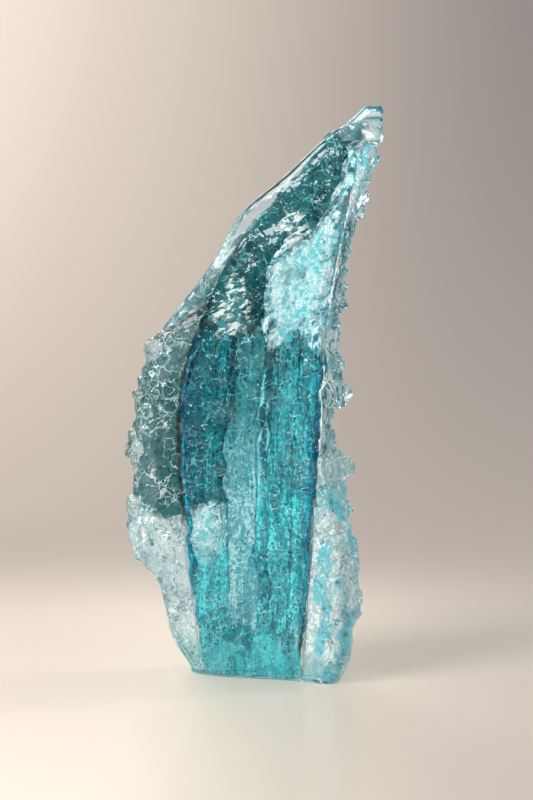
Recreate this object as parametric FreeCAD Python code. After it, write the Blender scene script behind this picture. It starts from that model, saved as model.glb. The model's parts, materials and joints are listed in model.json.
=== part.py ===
import FreeCAD, Part

import math
import os

# A glass wave sculpture: a thick blade of clear glass that leans to a peak, fused round a turquoise inlay.
# +X is to the viewer's right, +Y runs away from the viewer and +Z is up.
# The origin lies on the floor, under the middle of the foot.

# Overall sizes, in millimetres
blade_height = 400.0
blade_width = 180.0
blade_depth = 50.0

# The wave seen from above: the right edge comes forward and the left edge goes back
right_edge_forward = 18.0
left_edge_back = 4.0
wave_power = 1.5

# Clear glass over the inlay, measured where the blade is deepest; it thins with the blade
front_wall = 7.0
back_wall = 8.0
side_wall = 7.0

# Inlay
frit_thickness = 2.6
veil_thickness = 3.6
strip_width = 3.0

# The foot, and the levels of the other joints across the blade as shares of blade_height
foot_height = 36.0
tip_start_share = 0.935
stave_top_left_share = 0.625
stave_top_right_share = 0.570
crest_edge_start_share = 0.615
rim_start_outside_share = 0.590
rim_start_inside_share = 0.655

# Chips along the edges, with their places up the blade as shares of blade_height
left_chip_radius = 6.2
left_chip_pitch = 12.8
left_chips_start_share = 0.20
left_chips_end_share = 0.60
right_chip_radius = 6.2
right_chip_pitch = 12.8
right_chips_start_share = 0.11
right_chips_end_share = 0.94
shoulder_nugget_radius = 8.0
shoulder_nugget_share = 0.5725
upper_lobe_radius = 10.5
upper_lobe_share = 0.5025
lower_lobe_radius = 11.5
lower_lobe_share = 0.3775
lobe_clearance = 1.0
nugget_deep_share = 1.3
lobe_deep_share = 1.5
# A chip's size swings round its mean share, thins with the blade down to the thin share, and wanders from
# the middle of the edge; the turns make the swings uneven
chip_mean_share = 0.80
chip_swing_share = 0.20
chip_thin_share = 0.50
chip_wander_share = 0.14
chip_deep_share = 1.5
chip_deep_swing_share = 0.5
size_turn = 2.3
wander_turn = 1.7
deep_turn = 3.1

# Every cut runs past the blade by this much
overrun = 30.0

# The blade at each level: height as a share of blade_height, left edge, right edge and spine as shares of
# blade_width, thickness and sway from the middle plane as shares of blade_depth, and how far its front rises
# to a spine, from none to full
blade_level_shares = [
    (0.000, -0.297, 0.295, 0.060, 0.84, 0.00, 0.0),
    (0.022, -0.322, 0.324, 0.058, 0.90, 0.00, 0.0),
    (0.100, -0.398, 0.350, 0.045, 0.96, 0.01, 0.1),
    (0.180, -0.476, 0.350, 0.020, 1.00, 0.04, 0.2),
    (0.240, -0.552, 0.340, 0.000, 0.99, 0.07, 0.3),
    (0.320, -0.530, 0.300, -0.024, 0.97, 0.10, 0.4),
    (0.430, -0.528, 0.262, -0.030, 0.94, 0.11, 0.6),
    (0.530, -0.492, 0.284, -0.028, 0.89, 0.10, 0.8),
    (0.620, -0.400, 0.280, -0.024, 0.83, 0.07, 1.0),
    (0.700, -0.262, 0.302, -0.004, 0.74, 0.02, 1.0),
    (0.780, -0.150, 0.336, 0.110, 0.63, -0.04, 1.0),
    (0.860, 0.020, 0.384, 0.250, 0.51, -0.12, 1.0),
    (0.930, 0.196, 0.438, 0.325, 0.38, -0.20, 1.0),
    (0.975, 0.325, 0.460, 0.390, 0.26, -0.26, 0.6),
    (1.000, 0.385, 0.446, 0.416, 0.15, -0.29, 0.0),
]

# One level's outline, from the left edge round the front: side of the spine, share of the way from the spine
# to that edge, then share of the half thickness where the front is flat and where it rises to a full spine
outline_shares = [
    ("left", 1.00, 0.00, 0.00),
    ("left", 0.90, -0.66, -0.46),
    ("left", 0.50, -0.92, -0.68),
    ("left", 0.00, -1.00, -1.00),
    ("right", 0.48, -1.00, -0.86),
    ("right", 0.88, -0.80, -0.62),
    ("right", 1.00, 0.00, 0.00),
    ("right", 0.88, 0.68, 0.60),
    ("right", 0.40, 0.96, 0.94),
    ("left", 0.40, 0.96, 0.94),
    ("left", 0.88, 0.60, 0.54),
]

# The inlay's two sides: height as a share of blade_height, then left and right as shares of blade_width
core_side_shares = [
    (-0.06, -0.245, 0.145),
    (0.10, -0.268, 0.162),
    (0.20, -0.300, 0.178),
    (0.32, -0.330, 0.196),
    (0.43, -0.343, 0.210),
    (0.53, -0.322, 0.221),
    (0.61, -0.262, 0.230),
    (0.69, -0.186, 0.256),
    (0.77, -0.086, 0.288),
    (0.84, 0.058, 0.322),
    (0.90, 0.184, 0.352),
    (0.95, 0.280, 0.380),
    (1.02, 0.350, 0.404),
]

# Where the joints between staves lie, as shares of the way across the inlay
stave_joint_shares = [0.33, 0.57, 0.66, 0.84]

# The spine line of the crest: across as a share of blade_width, up as a share of blade_height
crest_spine_shares = [
    (-0.022, 0.50),
    (-0.018, 0.62),
    (0.000, 0.70),
    (0.056, 0.755),
    (0.160, 0.785),
    (0.222, 0.810),
    (0.262, 0.850),
    (0.294, 0.890),
    (0.330, 0.940),
    (0.350, 0.980),
]

# Outlines of the frit and of the veil, across and up in the same shares
foam_shares = [
    (0.006, 0.600), (0.008, 0.690), (0.060, 0.745), (0.164, 0.778), (0.232, 0.812),
    (0.272, 0.855), (0.312, 0.905), (0.325, 0.880), (0.306, 0.810), (0.268, 0.730),
    (0.224, 0.645), (0.120, 0.585),
]
frost_shares = [
    (-0.278, 0.200), (-0.304, 0.255), (-0.284, 0.300), (-0.236, 0.310),
    (-0.190, 0.318), (-0.168, 0.290), (-0.166, 0.235), (-0.212, 0.195),
]
veil_side_shares = [
    (-0.160, 0.360), (-0.142, 0.480), (-0.132, 0.600),
    (-0.235, 0.606), (-0.325, 0.578), (-0.410, 0.530), (-0.448, 0.450), (-0.452, 0.350),
]
veil_left_share = -0.444
veil_right_share = -0.164
veil_low_share = 0.270
veil_scallop_count = 5
veil_scallop_drop = 4.0


def across(share):
    return share * blade_width


def up(share):
    return share * blade_height


def between(low, high, share):
    return low + (high - low) * share


def read_off(table, column, height):
    """Reads one column of a level table at a height, in a straight line between its rows."""
    share = height / blade_height
    for lower, upper in zip(table, table[1:]):
        if share <= upper[0]:
            break
    part_way = (share - lower[0]) / (upper[0] - lower[0])
    return between(lower[column], upper[column], part_way)


def round_wire(points):
    """A smooth closed outline through evenly spaced points."""
    places = [number / len(points) for number in range(len(points) + 1)]
    curve = Part.BSplineCurve()
    curve.interpolate(Points=points, PeriodicFlag=True, Parameters=places)
    return Part.Wire(curve.toShape())


def wave_y(side, reach, thickness):
    """How far the wave carries a point back or forward, at a share of the way from spine to edge."""
    edge_y = {"left": left_edge_back, "right": -right_edge_forward}[side]
    return edge_y * thickness * reach ** wave_power


def level_wire(level, front_in, back_in, side_in):
    """One closed outline of the blade, or of a smaller form inside it, at a level."""
    height, left, right, spine, thickness, sway, rise = level
    half_depth = thickness * blade_depth / 2
    edge_x = {
        "left": across(left) + side_in * thickness,
        "right": across(right) - side_in * thickness,
    }
    points = []
    for side, reach, flat_depth, risen_depth in outline_shares:
        depth = between(flat_depth, risen_depth, rise)
        wall = front_in if depth < 0 else back_in
        x = between(across(spine), edge_x[side], reach)
        y = sway * blade_depth + wave_y(side, reach, thickness)
        y += depth * (half_depth - wall * thickness)
        points.append(FreeCAD.Vector(x, y, up(height)))
    return round_wire(points)


def blade_form(front_in=0.0, back_in=0.0, side_in=0.0):
    """The whole blade as one solid, or a form set in from its skin."""
    wires = [level_wire(level, front_in, back_in, side_in) for level in blade_level_shares]
    return Part.makeLoft(wires, True)


def through(face):
    """Runs a face that stands in the middle plane right through the blade, front to back."""
    reach = blade_depth + overrun
    face.translate(FreeCAD.Vector(0, -reach, 0))
    return face.extrude(FreeCAD.Vector(0, 2 * reach, 0))


def line_through(points):
    curve = Part.BSplineCurve()
    curve.interpolate(Points=points)
    return curve.toShape()


def spot(x, z):
    return FreeCAD.Vector(x, 0, z)


def patch(shares):
    """A slab with a soft closed outline, given in shares of the blade."""
    return through(Part.Face(round_wire([spot(across(x), up(z)) for x, z in shares])))


def slab(points):
    """A slab with straight edges."""
    return through(Part.Face(Part.makePolygon(points + [points[0]])))


def far_left():
    return -blade_width - overrun


def far_right():
    return blade_width + overrun


def core_line(share, shift=0.0):
    """A line up the blade, at a share of the way across the inlay."""
    points = []
    for height, left, right in core_side_shares:
        x = between(across(left), across(right), share) + shift
        points.append(spot(x, up(height)))
    return points


def left_of(points):
    """Everything left of a line that runs up the blade."""
    first, last = points[0], points[-1]
    corners = [last, spot(far_left(), last.z), spot(far_left(), first.z), first]
    edges = [line_through(points)]
    edges += [Part.makeLine(a, b) for a, b in zip(corners, corners[1:])]
    return through(Part.Face(Part.Wire(edges)))


def below(left_height, right_height, left_x, right_x):
    """Everything under a straight cut that passes two heights at two places across."""
    slope = (right_height - left_height) / (right_x - left_x)
    at_left = left_height + slope * (far_left() - left_x)
    at_right = left_height + slope * (far_right() - left_x)
    return slab([
        spot(far_left(), -overrun),
        spot(far_right(), -overrun),
        spot(far_right(), at_right),
        spot(far_left(), at_left),
    ])


def below_level(height):
    return below(height, height, far_left(), far_right())


def slanting_cut(left_share, left_table, right_share, right_table, right_column):
    """Everything under a cut that starts on one line of the blade and ends on another."""
    left_height, right_height = up(left_share), up(right_share)
    left_x = across(read_off(left_table, 1, left_height))
    right_x = across(read_off(right_table, right_column, right_height))
    return below(left_height, right_height, left_x, right_x)


def front_half():
    """Everything in front of the blade's waving middle plane."""
    wires = []
    for height, left, right, spine, thickness, sway, rise in blade_level_shares:
        middle_y = sway * blade_depth
        left_y = middle_y + wave_y("left", 1.0, thickness)
        right_y = middle_y + wave_y("right", 1.0, thickness)
        front_y = -blade_depth - overrun
        corners = [
            FreeCAD.Vector(far_left(), left_y, up(height)),
            FreeCAD.Vector(across(left), left_y, up(height)),
            FreeCAD.Vector(across(spine), middle_y, up(height)),
            FreeCAD.Vector(across(right), right_y, up(height)),
            FreeCAD.Vector(far_right(), right_y, up(height)),
            FreeCAD.Vector(far_right(), front_y, up(height)),
            FreeCAD.Vector(far_left(), front_y, up(height)),
        ]
        wires.append(Part.makePolygon(corners + [corners[0]]))
    return Part.makeLoft(wires, True)


def veil_slab():
    """The veil's outline: a row of scallops below, and a curve over the top."""
    step = (across(veil_right_share) - across(veil_left_share)) / veil_scallop_count
    level = up(veil_low_share)
    edges = []
    for number in range(veil_scallop_count):
        start = across(veil_left_share) + number * step
        middle = spot(start + step / 2, level - veil_scallop_drop)
        edges.append(Part.Arc(spot(start, level), middle, spot(start + step, level)).toShape())
    over = [spot(across(veil_right_share), level)]
    over += [spot(across(x), up(z)) for x, z in veil_side_shares]
    over.append(spot(across(veil_left_share), level))
    edges.append(line_through(over))
    return through(Part.Face(Part.Wire(edges)))


def chip(x, y, z, radius, deep_share):
    """A rounded chip of clear glass, round from the front and longer from front to back."""
    centre = FreeCAD.Vector(x, y, z)
    back_tip = FreeCAD.Vector(x, y + radius * deep_share, z)
    side = FreeCAD.Vector(x + radius, y, z)
    bow = Part.ArcOfEllipse(Part.Ellipse(back_tip, side, centre), 0, math.pi).toShape()
    first, last = [vertex.Point for vertex in bow.Vertexes]
    half_oval = Part.Face(Part.Wire([bow, Part.makeLine(last, first)]))
    return half_oval.revolve(centre, FreeCAD.Vector(0, 1, 0), 360)


def edge_place(side, height):
    """The edge of the blade at a height: how far across, how thick, and where its middle plane is."""
    column = {"left": 1, "right": 2}[side]
    x = across(read_off(blade_level_shares, column, height))
    thickness = read_off(blade_level_shares, 4, height) * blade_depth
    middle_y = read_off(blade_level_shares, 5, height) * blade_depth
    middle_y += wave_y(side, 1.0, thickness / blade_depth)
    return x, thickness, middle_y


def edge_chips(side, start_share, end_share, pitch, radius, keep_clear):
    """A beaded edge: chips of uneven size, one above the other, half sunk in the blade's edge."""
    chips = []
    count = math.ceil(up(end_share - start_share) / pitch)
    for number in range(count):
        height = up(start_share) + number * pitch
        x, thickness, middle_y = edge_place(side, height)
        size = radius * (chip_mean_share + chip_swing_share * math.sin(size_turn * number))
        size *= between(chip_thin_share, 1.0, thickness / blade_depth)
        if height + size > up(tip_start_share):
            break
        if any(abs(height - up(share)) < size + reach + lobe_clearance for share, reach in keep_clear):
            continue
        y = middle_y + chip_wander_share * thickness * math.sin(wander_turn * number)
        deep_share = chip_deep_share + chip_deep_swing_share * math.sin(deep_turn * number)
        chips.append(chip(x, y, height, size, deep_share))
    return Part.makeCompound(chips)


def lobe(side, height_share, radius, deep_share):
    """One large lump on an edge, half sunk in it."""
    x, thickness, middle_y = edge_place(side, up(height_share))
    return chip(x, middle_y, up(height_share), radius, deep_share)


def whole(shape):
    """A piece as one solid, without the slivers that a cut can leave beside it."""
    return max(shape.Solids, key=lambda solid: solid.Volume)


def split(shape, cutter):
    """What of a shape lies inside a cutter, and what is left."""
    return shape.common(cutter), shape.cut(cutter)


def sink_chips(nodes, chip_names, edge_names):
    """Cuts a seat for every chip in the pieces that make the edge."""
    chips = Part.makeCompound([solid for name in chip_names for solid in nodes[name].Solids])
    for name in edge_names:
        nodes[name] = nodes[name].cut(chips)


def make_nodes():
    nodes = {}
    blade = blade_form()
    core_form = blade_form(front_wall, back_wall, side_wall)
    inner_form = blade_form(front_wall + frit_thickness, back_wall + veil_thickness,
                            side_wall + veil_thickness)
    front = front_half()
    left_side = left_of(core_line(0))
    up_to_right_side = left_of(core_line(1))
    crest_spine = left_of([spot(across(x), up(z)) for x, z in crest_spine_shares])

    foot, body = split(blade, below_level(foot_height))
    nodes["foot_left_block"], rest = split(foot, left_side)
    nodes["foot_core"], nodes["foot_right_block"] = split(rest, up_to_right_side)

    body, nodes["crest_tip"] = split(body, below_level(up(tip_start_share)))

    layer = core_form.cut(inner_form)
    front_layer, back_layer = split(layer, front)
    nodes["deep_teal_veil"] = back_layer.common(veil_slab()).common(body)
    body = body.cut(nodes["deep_teal_veil"])

    left_wing, rest = split(body, left_side)
    column, right_wing = split(rest, up_to_right_side)
    rim_cut = slanting_cut(rim_start_outside_share, blade_level_shares,
                           rim_start_inside_share, core_side_shares, 1)
    nodes["left_flank"], nodes["polished_rim"] = split(left_wing, rim_cut)
    nodes["right_flank"], nodes["crest_edge"] = split(right_wing, below_level(up(crest_edge_start_share)))

    core, casing = split(column, core_form)
    stave_cut = slanting_cut(stave_top_left_share, core_side_shares,
                             stave_top_right_share, core_side_shares, 2)
    front_glass, back_glass = split(casing, front)
    nodes["front_casing"], nodes["crest_front_casing"] = split(front_glass, stave_cut)
    nodes["back_casing"], nodes["crest_back_casing"] = split(back_glass, stave_cut)

    foam = front_layer.common(patch(foam_shares))
    frost = front_layer.common(patch(frost_shares))
    nodes["foam_frit"] = foam.common(core)
    nodes["frost_frit"] = frost.common(core)
    core = core.cut(nodes["foam_frit"]).cut(nodes["frost_frit"])

    staves, crest = split(core, stave_cut)
    nodes["crest_left_core"], nodes["crest_right_core"] = split(crest, crest_spine)
    nodes["left_blue_strip"], staves = split(staves, left_of(core_line(0, strip_width)))
    staves, nodes["right_blue_strip"] = split(staves, left_of(core_line(1, -strip_width)))
    names = ["left_stave", "centre_left_stave", "spine_bar", "centre_right_stave", "right_stave"]
    for name, share in zip(names, stave_joint_shares):
        nodes[name], staves = split(staves, left_of(core_line(share)))
    nodes[names[-1]] = staves

    nodes["shoulder_nugget"] = lobe("left", shoulder_nugget_share, shoulder_nugget_radius,
                                    nugget_deep_share)
    nodes["upper_right_lobe"] = lobe("right", upper_lobe_share, upper_lobe_radius, lobe_deep_share)
    nodes["lower_right_lobe"] = lobe("right", lower_lobe_share, lower_lobe_radius, lobe_deep_share)
    nodes["left_edge_chips"] = edge_chips(
        "left", left_chips_start_share, left_chips_end_share, left_chip_pitch, left_chip_radius,
        [(shoulder_nugget_share, shoulder_nugget_radius)])
    nodes["right_edge_chips"] = edge_chips(
        "right", right_chips_start_share, right_chips_end_share, right_chip_pitch, right_chip_radius,
        [(upper_lobe_share, upper_lobe_radius), (lower_lobe_share, lower_lobe_radius)])
    sink_chips(nodes, ["left_edge_chips", "shoulder_nugget"], ["left_flank", "polished_rim"])
    sink_chips(nodes, ["right_edge_chips", "upper_right_lobe", "lower_right_lobe"],
               ["right_flank", "crest_edge"])
    return nodes


def main():
    os.makedirs("parts", exist_ok=True)
    for name, shape in make_nodes().items():
        if name not in ("left_edge_chips", "right_edge_chips"):
            shape = whole(shape)
        print(name, "solids", len(shape.Solids), "valid", shape.isValid(), "volume", round(shape.Volume))
        shape.exportStep(os.path.join("parts", name + ".step"))


main()
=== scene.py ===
# %% [markdown]
# # A glass wave, from its skin to the colour inside it
# The object is a kiln-cast blade of clear glass that leans to the right like a wave. Inside it lie bars of
# turquoise glass, two thin blue strips, a dark teal sheet and patches of white frit. Light passes through
# all of it, so the order is: the skin first, the coloured charges next, and the small things last.
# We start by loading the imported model. Each later piece takes its place from those nodes.

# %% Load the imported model
import json
import math
import bpy
import numpy as np
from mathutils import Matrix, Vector

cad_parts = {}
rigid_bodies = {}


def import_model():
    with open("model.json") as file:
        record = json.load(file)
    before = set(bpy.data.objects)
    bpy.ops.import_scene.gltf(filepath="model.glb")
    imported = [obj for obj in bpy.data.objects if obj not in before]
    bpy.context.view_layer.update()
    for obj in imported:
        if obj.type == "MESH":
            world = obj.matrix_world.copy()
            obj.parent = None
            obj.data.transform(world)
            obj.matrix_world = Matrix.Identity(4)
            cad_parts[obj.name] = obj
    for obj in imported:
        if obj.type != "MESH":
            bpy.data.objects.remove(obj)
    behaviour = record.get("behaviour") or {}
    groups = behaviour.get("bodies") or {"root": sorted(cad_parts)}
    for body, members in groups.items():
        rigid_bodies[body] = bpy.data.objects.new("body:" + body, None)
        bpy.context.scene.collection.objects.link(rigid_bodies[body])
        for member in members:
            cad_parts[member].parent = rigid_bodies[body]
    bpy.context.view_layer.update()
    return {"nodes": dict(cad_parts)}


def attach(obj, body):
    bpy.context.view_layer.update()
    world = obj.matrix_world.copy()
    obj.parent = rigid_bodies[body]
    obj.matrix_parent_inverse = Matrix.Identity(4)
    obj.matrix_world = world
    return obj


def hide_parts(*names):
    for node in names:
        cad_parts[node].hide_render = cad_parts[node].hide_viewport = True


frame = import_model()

mm = 0.001
scene = bpy.context.scene

# %% [markdown]
# ## The camera
# A long lens from a little right of the front, slightly above the middle and looking down on the foot.
# The turn and the reach were found by laying the solid's outline over the outline in the photograph.
# Light crosses many walls inside this piece, so it gets more bounces than a plain object needs.

# %% Camera
camera_turn = math.radians(8)
camera_reach, camera_height = 1.45, 0.335
camera_lens, camera_sensor = 93.2, 36
aim = Vector((-0.001, 0, 0.195))
camera_place = Vector((aim.x + camera_reach * math.sin(camera_turn),
                       -camera_reach * math.cos(camera_turn), camera_height))
camera_look = (aim - camera_place).to_track_quat("-Z", "Y").to_euler()
bpy.ops.object.camera_add(location=camera_place, rotation=camera_look)
camera = bpy.context.object
camera.data.lens = camera_lens
camera.data.sensor_width = camera_sensor
scene.camera = camera
scene.view_settings.view_transform = "Standard"
layer_bounces, glass_bounces, all_bounces = 32, 16, 20
scene.cycles.transparent_max_bounces = layer_bounces
scene.cycles.transmission_bounces = glass_bounces
scene.cycles.max_bounces = all_bounces
print("camera at", [round(v, 3) for v in camera_place])

# %% [markdown]
# ## Helpers for selecting
# An operator works on all that is selected, and loading leaves the nodes selected. So each cell clears the
# selection first, and picks faces or edges by their place or by the way they face.

# %% Selecting
def clear_selection():
    bpy.ops.object.select_all(action="DESELECT")


def choose(piece):
    clear_selection()
    piece.select_set(True)
    bpy.context.view_layer.objects.active = piece
    return piece


def clear_parts(piece, kind):
    choose(piece)
    bpy.ops.object.mode_set(mode="EDIT")
    bpy.ops.mesh.select_mode(type=kind)
    bpy.ops.mesh.select_all(action="DESELECT")
    bpy.ops.object.mode_set(mode="OBJECT")


def pick_edges(piece, test):
    clear_parts(piece, "EDGE")
    mesh = piece.data
    for edge in mesh.edges:
        edge.select = all(test(mesh.vertices[v].co) for v in edge.vertices)
        if edge.select:
            for v in edge.vertices:
                mesh.vertices[v].select = True
    bpy.ops.object.mode_set(mode="EDIT")


def finish_modifier(piece, kind, **settings):
    modifier = piece.modifiers.new(kind.title(), kind)
    for key, value in settings.items():
        setattr(modifier, key, value)
    choose(piece)
    bpy.ops.object.modifier_apply(modifier=modifier.name)
    return piece


clear_selection()
print("still selected:", len(bpy.context.selected_objects))

# %% [markdown]
# ## Helpers for materials
# A material is a small net of nodes. One helper adds a node and fills its sockets, with a number or with
# another node's output. The others are the sums that come back: times, plus, minus, the most of several
# values, a soft fade between two levels, and a blend of two colours. A sum finds its tree from the values it
# is given, so that its call stays short.

# %% Adding nodes
def fill(tree, socket, value):
    if isinstance(value, bpy.types.NodeSocket):
        tree.links.new(value, socket)
    else:
        socket.default_value = value


def add(tree, kind, sockets=None, **settings):
    made = tree.nodes.new("ShaderNode" + kind)
    for key, value in settings.items():
        setattr(made, key, value)
    for key, value in (sockets or {}).items():
        fill(tree, made.inputs[key], value)
    return made


def new_material(name):
    material = bpy.data.materials.new(name)
    material.use_nodes = True
    material.node_tree.nodes.clear()
    return material, material.node_tree


def new_group(name, inputs, outputs):
    group = bpy.data.node_groups.new(name, "ShaderNodeTree")
    for key, value in inputs.items():
        socket = group.interface.new_socket(name=key, in_out="INPUT", socket_type="NodeSocketFloat")
        socket.default_value = value
    for key in outputs:
        group.interface.new_socket(name=key, in_out="OUTPUT", socket_type="NodeSocketFloat")
    return group, group.nodes.new("NodeGroupInput").outputs, group.nodes.new("NodeGroupOutput").inputs


def use_group(tree, group, **values):
    made = tree.nodes.new("ShaderNodeGroup")
    made.node_tree = group
    for key, value in values.items():
        fill(tree, made.inputs[key], value)
    return made.outputs


# %% Sums, fades and blends
def tree_of(*values):
    return next(value.id_data for value in values if isinstance(value, bpy.types.NodeSocket))


def arithmetic(operation, first, second=0.0, clamp=False):
    tree = tree_of(first, second)
    return add(tree, "Math", {0: first, 1: second}, operation=operation, use_clamp=clamp).outputs[0]


def times(first, second):
    return arithmetic("MULTIPLY", first, second)


def plus(first, second):
    return arithmetic("ADD", first, second)


def minus(first, second):
    return arithmetic("SUBTRACT", first, second)


def most(first, *others, clamp=False):
    for other in others:
        first = arithmetic("MAXIMUM", first, other, clamp=clamp and other is others[-1])
    return first


def fade(value, start, end, low=0.0, high=1.0):
    levels = {"Value": value, "From Min": start, "From Max": end, "To Min": low, "To Max": high}
    ramp = add(tree_of(value), "MapRange", levels, interpolation_type="SMOOTHSTEP")
    return ramp.outputs["Result"]


def blend_colour(factor, first, second):
    tree = tree_of(factor, first, second)
    mixer = add(tree, "Mix", data_type="RGBA")
    for key, value in ((0, factor), (6, first), (7, second)):
        fill(tree, mixer.inputs[key], (*value, 1) if isinstance(value, tuple) else value)
    return mixer.outputs[2]


# %% [markdown]
# ## Places inside the glass
# A pattern has to stay where it is in the glass, so it reads the piece's Object coordinates, in metres. The
# helpers give that place, one axis of it, a share that is stored on the mesh, or noise at that place. The
# last one makes a soft patch with a torn rim, at a spot that was measured in the photograph in mm.

# %% Places and patches
def object_place(tree):
    return add(tree, "TexCoord").outputs["Object"]


def axis(tree, name):
    return add(tree, "SeparateXYZ", {0: object_place(tree)}).outputs[name]


def stored(tree, name):
    return add(tree, "Attribute", attribute_name=name).outputs["Fac"]


def noise(tree, place, scale, part="Fac", **settings):
    return add(tree, "TexNoise", {"Vector": place, "Scale": scale, **settings}).outputs[part]


def vector(tree, operation, first, second):
    return add(tree, "VectorMath", {0: first, 1: second}, operation=operation).outputs[0]


def pushed(tree, place, scale, detail, warp):
    wander = noise(tree, place, scale, "Color", Detail=detail)
    push = add(tree, "VectorMath", {0: wander, "Scale": warp}, operation="SCALE").outputs[0]
    return vector(tree, "ADD", place, push)


def patch_at(tree, x, z, wide, tall, ragged=1.6):
    place = object_place(tree)
    away = vector(tree, "SUBTRACT", place, (x * mm, 0, z * mm))
    away = vector(tree, "MULTIPLY", away, (1 / (wide * mm), 0, 1 / (tall * mm)))
    away = add(tree, "VectorMath", {0: away}, operation="LENGTH").outputs["Value"]
    torn = minus(noise(tree, place, 130, Detail=4, Distortion=0.8), 0.5)
    return fade(plus(away, times(torn, ragged)), 1.1, 0.7)


# %% [markdown]
# ## Patterns that the glasses share
# Five patterns come back all over the piece: long flowing streaks that follow the wave, lines combed aslant
# through soft froth, a net of fine cracks, tiny seed bubbles and curls of froth. Each is a group that puts
# out masks from 0 to 1, so every glass can set its own scale.

# %% Flowing streaks
streaks, start, end = new_group("flow_streaks", {"Scale": 120, "Stretch": 0.12, "Warp": 0.004},
                                ["Mask", "Fine", "Both"])
still = object_place(streaks)
place = pushed(streaks, still, 14, 2, start["Warp"])
length = add(streaks, "CombineXYZ", {"X": 1.0, "Y": 1.0, "Z": start["Stretch"]}).outputs[0]
place = vector(streaks, "MULTIPLY", place, length)
broad = noise(streaks, place, start["Scale"], Detail=4, Roughness=0.55)
fine = noise(streaks, place, times(start["Scale"], 5.0), Detail=3, Roughness=0.6)
mask = fade(broad, 0.38, 0.62)
both = plus(times(mask, 0.55), times(fade(fine, 0.40, 0.60), 0.45))
grain = times(minus(noise(streaks, still, 430, Detail=4, Roughness=0.7), 0.5), 3.0)
cloud = times(minus(noise(streaks, still, 48, Detail=3, Distortion=0.6), 0.5), 1.5)
grain = plus(grain, cloud)
streaks.links.new(mask, end["Mask"])
streaks.links.new(fade(fine, 0.40, 0.62), end["Fine"])
streaks.links.new(arithmetic("ADD", both, grain, clamp=True), end["Both"])
print("streaks:", len(streaks.nodes), "nodes")

# %% Combed lines
combed, start, end = new_group("combed_lines", {"Scale": 170, "Turn": 0.44, "Squeeze": 0.3},
                               ["Mask", "Height"])
turned = add(combed, "CombineXYZ", {"Y": start["Turn"]}).outputs[0]
length = add(combed, "CombineXYZ", {"X": start["Squeeze"], "Y": 1.0, "Z": 1.0}).outputs[0]
place = add(combed, "Mapping", {"Vector": object_place(combed), "Rotation": turned}).outputs[0]
place = vector(combed, "MULTIPLY", place, length)
line = noise(combed, place, start["Scale"], Detail=4, Distortion=0.9)
combed.links.new(fade(line, 0.53, 0.60), end["Mask"])
combed.links.new(line, end["Height"])
print("combed lines:", len(combed.nodes), "nodes")

# %% Net of cracks
cracks, start, end = new_group("crack_net", {"Scale": 90, "Width": 0.03, "Warp": 0.006, "Broken": 0.5},
                               ["Mask"])
place = pushed(cracks, object_place(cracks), 70, 3, start["Warp"])
cells = add(cracks, "TexVoronoi", {"Vector": place, "Scale": start["Scale"]}, feature="DISTANCE_TO_EDGE")
line = fade(cells.outputs["Distance"], start["Width"], 0.0)
kept = fade(noise(cracks, place, 60, Detail=2), start["Broken"], plus(start["Broken"], 0.12))
cracks.links.new(times(line, kept), end["Mask"])
print("cracks:", len(cracks.nodes), "nodes")

# %% Seed bubbles
seeds, start, end = new_group("seed_bubbles", {"Scale": 420, "Size": 0.16, "Share": 0.3}, ["Mask"])
dots = add(seeds, "TexVoronoi", {"Vector": object_place(seeds), "Scale": start["Scale"]}).outputs
dot = fade(dots["Distance"], start["Size"], times(start["Size"], 0.5))
parts = add(seeds, "SeparateColor", {0: dots["Color"]})
chosen = arithmetic("LESS_THAN", parts.outputs[0], start["Share"])
seeds.links.new(times(dot, chosen), end["Mask"])
print("seeds:", len(seeds.nodes), "nodes")

# %% Curls of froth
froth, start, end = new_group("froth_curls", {"Scale": 60, "Curl": 1.6, "Thin": 0.06, "Cover": 0.5},
                              ["Mask", "Height"])
place = object_place(froth)
swirl = noise(froth, place, start["Scale"], Detail=5, Roughness=0.62, Distortion=start["Curl"])
middle = arithmetic("ABSOLUTE", minus(swirl, 0.5))
ridge = fade(middle, start["Thin"], 0.0)
patch = noise(froth, place, 38, Detail=3, Distortion=0.8)
cover = fade(patch, start["Cover"], plus(start["Cover"], 0.08))
froth.links.new(most(times(ridge, 0.8), cover, clamp=True), end["Mask"])
froth.links.new(swirl, end["Height"])
print("pattern groups:", [g.name for g in bpy.data.node_groups])

# %% [markdown]
# ## The studio
# The photograph shows a paper sweep: a pale floor that curves up into a grey-beige wall. It could be a bent
# cloth, but a plane, one spin and one extrusion give the same even curve.

# %% Paper sweep
clear_selection()
sweep_start, sweep_radius = 0.45, 1.6
sweep_reach, wall_rise, sweep_steps = 12, 1.5, 40
bpy.ops.mesh.primitive_plane_add(size=2, location=(0, 0, 0))
sweep = bpy.context.object
sweep.name = "paper_sweep"
for corner in sweep.data.vertices:
    corner.co.x *= sweep_reach
    corner.co.y = sweep_start if corner.co.y > 0 else -sweep_reach
pick_edges(sweep, lambda p: p.y > 0)
bpy.ops.mesh.spin(steps=sweep_steps, angle=math.radians(-90), center=(0, sweep_start, sweep_radius),
                  axis=(1, 0, 0))
bpy.ops.object.mode_set(mode="OBJECT")
pick_edges(sweep, lambda p: p.z > sweep_radius - 10 * mm)
bpy.ops.mesh.extrude_region_move(TRANSFORM_OT_translate={"value": (0, 0, wall_rise)})
bpy.ops.mesh.select_all(action="SELECT")
bpy.ops.mesh.remove_doubles(threshold=0.1 * mm)
bpy.ops.mesh.normals_make_consistent(inside=False)
bpy.ops.object.mode_set(mode="OBJECT")
choose(sweep)
bpy.ops.object.shade_smooth()
ground = max(sweep.data.polygons, key=lambda p: p.area)
if ground.normal.z < 0:
    sweep.data.flip_normals()
print("sweep reaches", [round(max(v.co[i] for v in sweep.data.vertices), 2) for i in range(3)])

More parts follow.
